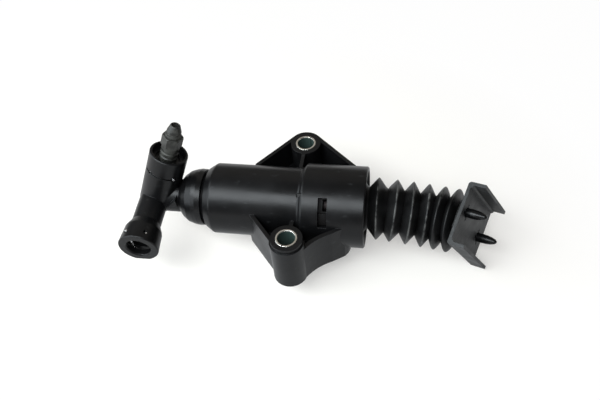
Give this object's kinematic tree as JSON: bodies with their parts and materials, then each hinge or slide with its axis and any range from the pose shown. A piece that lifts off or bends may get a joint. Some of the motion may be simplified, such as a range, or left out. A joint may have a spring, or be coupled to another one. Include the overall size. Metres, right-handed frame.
{
  "type": "hydraulic clutch slave cylinder",
  "caption": "Black plastic clutch slave cylinder: webbed ears with steel bushes, bleed barrel, angled line socket, folded rubber boot and a steel channel foot on a sprung pushrod.",
  "frame": {"origin": "on the bore axis, midway between the two mounting bolts", "axes": "+X along the bore towards the foot, +Z along the mounting bolts away from the bell housing, Y across the ears"},
  "size_m": [0.1853, 0.0784, 0.0702],
  "materials": {
    "black_plastic": "black glass-filled nylon, satin, moulded",
    "sleeve_plastic": "dark moulded nylon",
    "foot_plastic": "black acetal, slightly glossy",
    "zinc_bush": "zinc plated rolled steel",
    "clip_wire": "bright spring steel wire",
    "bleed_metal": "grey passivated steel",
    "piston_alloy": "dull anodised aluminium",
    "spring_steel": "spring steel",
    "rod_steel": "turned steel, phosphated",
    "foot_steel": "pressed steel with a dark grey phosphate coat",
    "seal_rubber": "black seal rubber",
    "boot_rubber": "black boot rubber",
    "retainer_plastic": "natural acetal"
  },
  "bodies": {
    "body": {"mount_housing": "black_plastic", "bush_near": "zinc_bush", "bush_far": "zinc_bush", "pressure_cylinder": "black_plastic", "guide_sleeve": "sleeve_plastic", "line_manifold": "black_plastic", "manifold_seal": "seal_rubber", "socket_seal": "seal_rubber", "bleed_insert": "foot_plastic", "insert_seal": "seal_rubber", "preload_spring": "spring_steel", "boot": "boot_rubber"},
    "piston": {"piston": "piston_alloy", "primary_seal": "seal_rubber", "secondary_seal": "seal_rubber", "spring_seat": "spring_steel", "rod_retainer": "retainer_plastic"},
    "pushrod": {"pushrod": "rod_steel"},
    "foot": {"foot": "foot_steel", "foot_cup": "foot_plastic"},
    "bleed_screw": {"bleed_screw": "bleed_metal"},
    "bleed_clip": {"bleed_clip": "clip_wire"},
    "line_clip": {"line_clip": "clip_wire"}
  },
  "joints": [
    {"name": "piston_slide", "type": "slide", "parent": "body", "child": "piston", "axis": [-1, 0, 0], "range_m": [0, 0.025], "stiffness_N_per_m": 400, "springref_m": -0.004, "deforming": ["preload_spring", "boot"]},
    {"name": "rod_tilt", "type": "hinge", "parent": "piston", "child": "pushrod", "pos_m": [0.027, 0, 0], "axis": [0, 1, 0], "range_deg": [-13.4, 0]},
    {"name": "foot_swivel", "type": "hinge", "parent": "pushrod", "child": "foot", "pos_m": [0.07884, 0, -0.00609], "axis": [-0.0938, -0.5944, -0.7987], "range_deg": [-64, 0]},
    {"name": "bleed_turn", "type": "hinge", "parent": "body", "child": "bleed_screw", "pos_m": [-0.0723, 0, 0], "axis": [0.3493, 0.1805, 0.9195], "range_deg": [0, 540]},
    {"name": "bleed_clip_pull", "type": "slide", "parent": "body", "child": "bleed_clip", "axis": [-0.0641, 0.9836, -0.1688], "range_m": [0, 0.004]},
    {"name": "line_clip_pull", "type": "slide", "parent": "body", "child": "line_clip", "axis": [-0.001, 0.0506, -0.9987], "range_m": [0, 0.004]}
  ]
}
